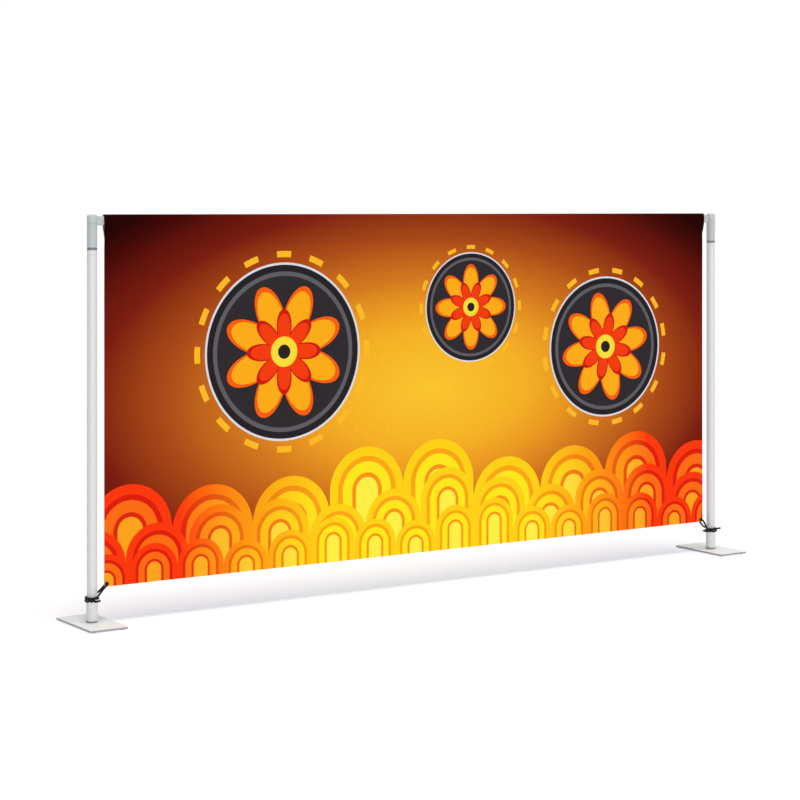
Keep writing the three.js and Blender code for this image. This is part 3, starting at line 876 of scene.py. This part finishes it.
def turn_tie(side, points, first_share=1):
    """Turns points round the post: the first by a share of the knot's angle, and the last by all of it."""
    angles = np.radians(tie_knot_turn[side]) * np.linspace(first_share, 1, len(points))
    return [
        (x * math.cos(a) + y * math.sin(a), y * math.cos(a) - x * math.sin(a), z)
        for (x, y, z), a in zip(points, angles)
    ]


def tie_route(side):
    return [
        *turn_tie(side, tie_outer_tail[side] + tie_knot_upwards),
        *tie_front_strand[side],
        *tie_through_eyelet,
        *tie_back_strand,
        *turn_tie(side, tie_first_turn + tie_second_turn, 0),
        *turn_tie(side, tie_knot_downwards + tie_inner_tail),
    ]


def tie_centres(side, sign):
    """The middle line of a tie, and how far along it each point lies."""
    socket_low, socket_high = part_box(f"base_socket_{side}")
    post_x = (socket_low.x + socket_high.x) / 2
    points = [(post_x - sign * x * mm, y * mm, socket_high.z + z * mm) for x, y, z in tie_route(side)]
    return spaced(centripetal(points), tie_ring_step)


def directions_across(centres):
    """Two directions across a line at each of its points, carried along it without a twist."""
    tangents = np.gradient(centres, axis=0)
    tangents /= np.linalg.norm(tangents, axis=1)[:, None]
    across = np.cross(tangents[0], (0, 0, 1))
    normals = []
    for tangent in tangents:
        across = across - tangent * np.dot(across, tangent)
        across = across / np.linalg.norm(across)
        normals.append(across)
    return np.array(normals), np.cross(tangents, normals)


def braid_height(around, along):
    """Height of a braid from 0 to 1, for places in strands round the cord and in strand widths along it."""
    first = (around + along) % 1
    second = (around - along) % 1
    over = 0.5 + 0.5 * np.sign(np.sin(np.pi * (around + along)) * np.sin(np.pi * (around - along)))
    round_first = np.sqrt(np.clip(1 - (2 * first - 1) ** 2, 0, 1))
    round_second = np.sqrt(np.clip(1 - (2 * second - 1) ** 2, 0, 1))
    first_height = round_first * (1 - strand_dip_share * (1 - over))
    second_height = round_second * (1 - strand_dip_share * over)
    return np.maximum(first_height, second_height)


def tie_radii(along):
    """The radius of a tie at each place along and round it. The braid fades into smooth, rounded ends."""
    to_end = np.minimum(along, along[-1] - along)
    seal = np.clip(to_end / sealed_end, 0, 1)
    rounding = np.sqrt(np.clip(1 - (1 - np.clip(to_end / tie_radius, 0, 1)) ** 2, 0, 1))
    height = braid_height(round_tie[None, :] * strands, along[:, None] / strand_width)
    radius = tie_radius + strand_rise * (height - braid_level) * seal[:, None]
    return radius * np.maximum(rounding, tip_share)[:, None]


def lay_braid_coordinates(piece, along):
    """The tie's own coordinates: a share of a turn round it, and strand widths along it."""
    places = np.zeros((len(piece.data.loops), 2))
    for polygon in piece.data.polygons:
        columns = [vertex % tie_sides for vertex in polygon.vertices]
        closes_ring = len(columns) == 4 and 0 in columns and max(columns) > 1
        for loop, vertex, column in zip(polygon.loop_indices, polygon.vertices, columns):
            if closes_ring and column == 0:
                column = tie_sides
            places[loop] = (column / tie_sides, along[vertex // tie_sides] / strand_width)
    piece.data.uv_layers.new(name="braid").data.foreach_set("uv", places.ravel())


def make_tie(side, sign):
    """A braided tie, in place of the model's plain cord."""
    centres, along = tie_centres(side, sign)
    normals, binormals = directions_across(centres)
    # The points are ordered by ring along the tie, then by place round it
    angle = 2 * np.pi * round_tie[None, :, None]
    ring = normals[:, None] * np.cos(angle) + binormals[:, None] * np.sin(angle)
    vertices = (centres[:, None] + ring * tie_radii(along)[:, :, None]).reshape(-1, 3)
    last_ring = (len(centres) - 1) * tie_sides
    faces = grid_faces(len(centres), tie_sides, closed=True)
    faces.append(tuple(range(tie_sides))[::-1])
    faces.append(tuple(range(last_ring, last_ring + tie_sides)))
    piece = make_piece(f"braided_tie_{side}", vertices, faces, [finishes["elastic_cord"]])
    lay_braid_coordinates(piece, along)
    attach(piece, "rail_assembly")
    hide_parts(f"corner_tie_{side}")


for side, sign in sides.items():
    make_tie(side, sign)


# Model pieces that stay: smooth shading across small angles, and their finishes
smooth_below_deg = 38
merge_distance = 0.001 * mm


def make_smoothing():
    tree = bpy.data.node_groups.new("smooth_by_angle", "GeometryNodeTree")
    tree.interface.new_socket("Geometry", in_out="INPUT", socket_type="NodeSocketGeometry")
    tree.interface.new_socket("Geometry", in_out="OUTPUT", socket_type="NodeSocketGeometry")
    graph = Graph(tree)
    source = graph.node("NodeGroupInput").outputs[0]
    merged = graph.node("GeometryNodeMergeByDistance", {"Geometry": source, "Distance": merge_distance})
    angle = graph.node("GeometryNodeInputMeshEdgeAngle").outputs["Unsigned Angle"]
    sharp = graph.node("FunctionNodeCompare", {0: angle, 1: math.radians(smooth_below_deg)})
    normals = graph.node("GeometryNodeSetMeshNormal", {
        "Mesh": merged.outputs[0], "Remove Custom": True, "Edge Sharpness": sharp.outputs[0],
    })
    graph.node("NodeGroupOutput", {0: normals.outputs[0]})
    return tree


smoothing = make_smoothing()
slot_of = {row["node"]: row["material_slot"] for row in frame["record"]["subparts"]}


def finish_of(name):
    if name == "rail_tube":
        return "tube_level"
    if name.startswith("base_plate"):
        return "coated_plate"
    if name.startswith("base_gasket"):
        return "gasket_rubber"
    return slot_of[name]


for name, node in frame["nodes"].items():
    finish = finishes[finish_of(name)]
    for material_slot in node.material_slots:
        material_slot.material = finish
    node.modifiers.new("smooth_by_angle", "NODES").node_group = smoothing


# Floor, world and lamps
floor_half = 60
floor_colour = (0.93, 0.90, 0.97, 1)
# The floor as the background: a paler cast shadow, and a glow that makes the rest of it white
background_colour = (0.63, 0.58, 0.50, 1)
background_glow = (0.43, 0.475, 0.56, 1)
world_strength = 0.25
# Suns: turn from the front towards the camera, height above the horizon, width, all in degrees, and strength
overhead_sun = (0, 81, 30, 0.7 * math.pi)
front_sun = (10, 6, 20, 0.365 * math.pi)


def background_rays(graph):
    """1 for rays that show the background: from the camera, or mirrored or let through by the object."""
    path = graph.node("ShaderNodeLightPath").outputs
    kinds = ("Is Camera Ray", "Is Glossy Ray", "Is Transmission Ray")
    camera, glossy, passed = (Field(graph, path[kind]) for kind in kinds)
    return (camera + glossy + passed).at_most(1)


def make_floor():
    material = bpy.data.materials.new("floor")
    material.use_nodes = True
    nodes = material.node_tree.nodes
    nodes.remove(nodes["Principled BSDF"])
    graph = Graph(material.node_tree)
    matte = graph.node("ShaderNodeBsdfDiffuse", {"Color": floor_colour}).outputs[0]
    pale = graph.node("ShaderNodeBsdfDiffuse", {"Color": background_colour}).outputs[0]
    glow = graph.node("ShaderNodeEmission", {"Color": background_glow}).outputs[0]
    shown = graph.node("ShaderNodeAddShader", {0: pale, 1: glow}).outputs[0]
    mixed = graph.node("ShaderNodeMixShader", {0: background_rays(graph), 1: matte, 2: shown}).outputs[0]
    graph.feed(nodes["Material Output"].inputs["Surface"], mixed)
    corners = [(x * floor_half, y * floor_half, 0) for x, y in ((-1, -1), (1, -1), (1, 1), (-1, 1))]
    floor = make_piece("floor", corners, [(0, 1, 2, 3)], [material], smooth=False)
    floor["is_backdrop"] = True


def make_world():
    world = bpy.data.worlds.new("studio")
    world.use_nodes = True
    bpy.context.scene.world = world
    graph = Graph(world.node_tree)
    background = world.node_tree.nodes["Background"]
    background.inputs["Color"].default_value = (1, 1, 1, 1)
    graph.feed(background.inputs["Strength"], background_rays(graph).between(world_strength, 1))


def make_sun(name, turn_deg, height_deg, width_deg, strength):
    data = bpy.data.lights.new(name, "SUN")
    data.angle = math.radians(width_deg)
    data.energy = strength
    lamp = bpy.data.objects.new(name, data)
    lamp.rotation_euler = (math.radians(90 - height_deg), 0, -math.radians(turn_deg))
    bpy.context.scene.collection.objects.link(lamp)


make_floor()
make_world()
make_sun("overhead", *overhead_sun)
make_sun("front", *front_sun)

bpy.context.scene.view_settings.view_transform = "Standard"

visual_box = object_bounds()
({
    "cad_box": [list(corner) for corner in cad_box],
    "visual_box": [list(corner) for corner in visual_box],
})
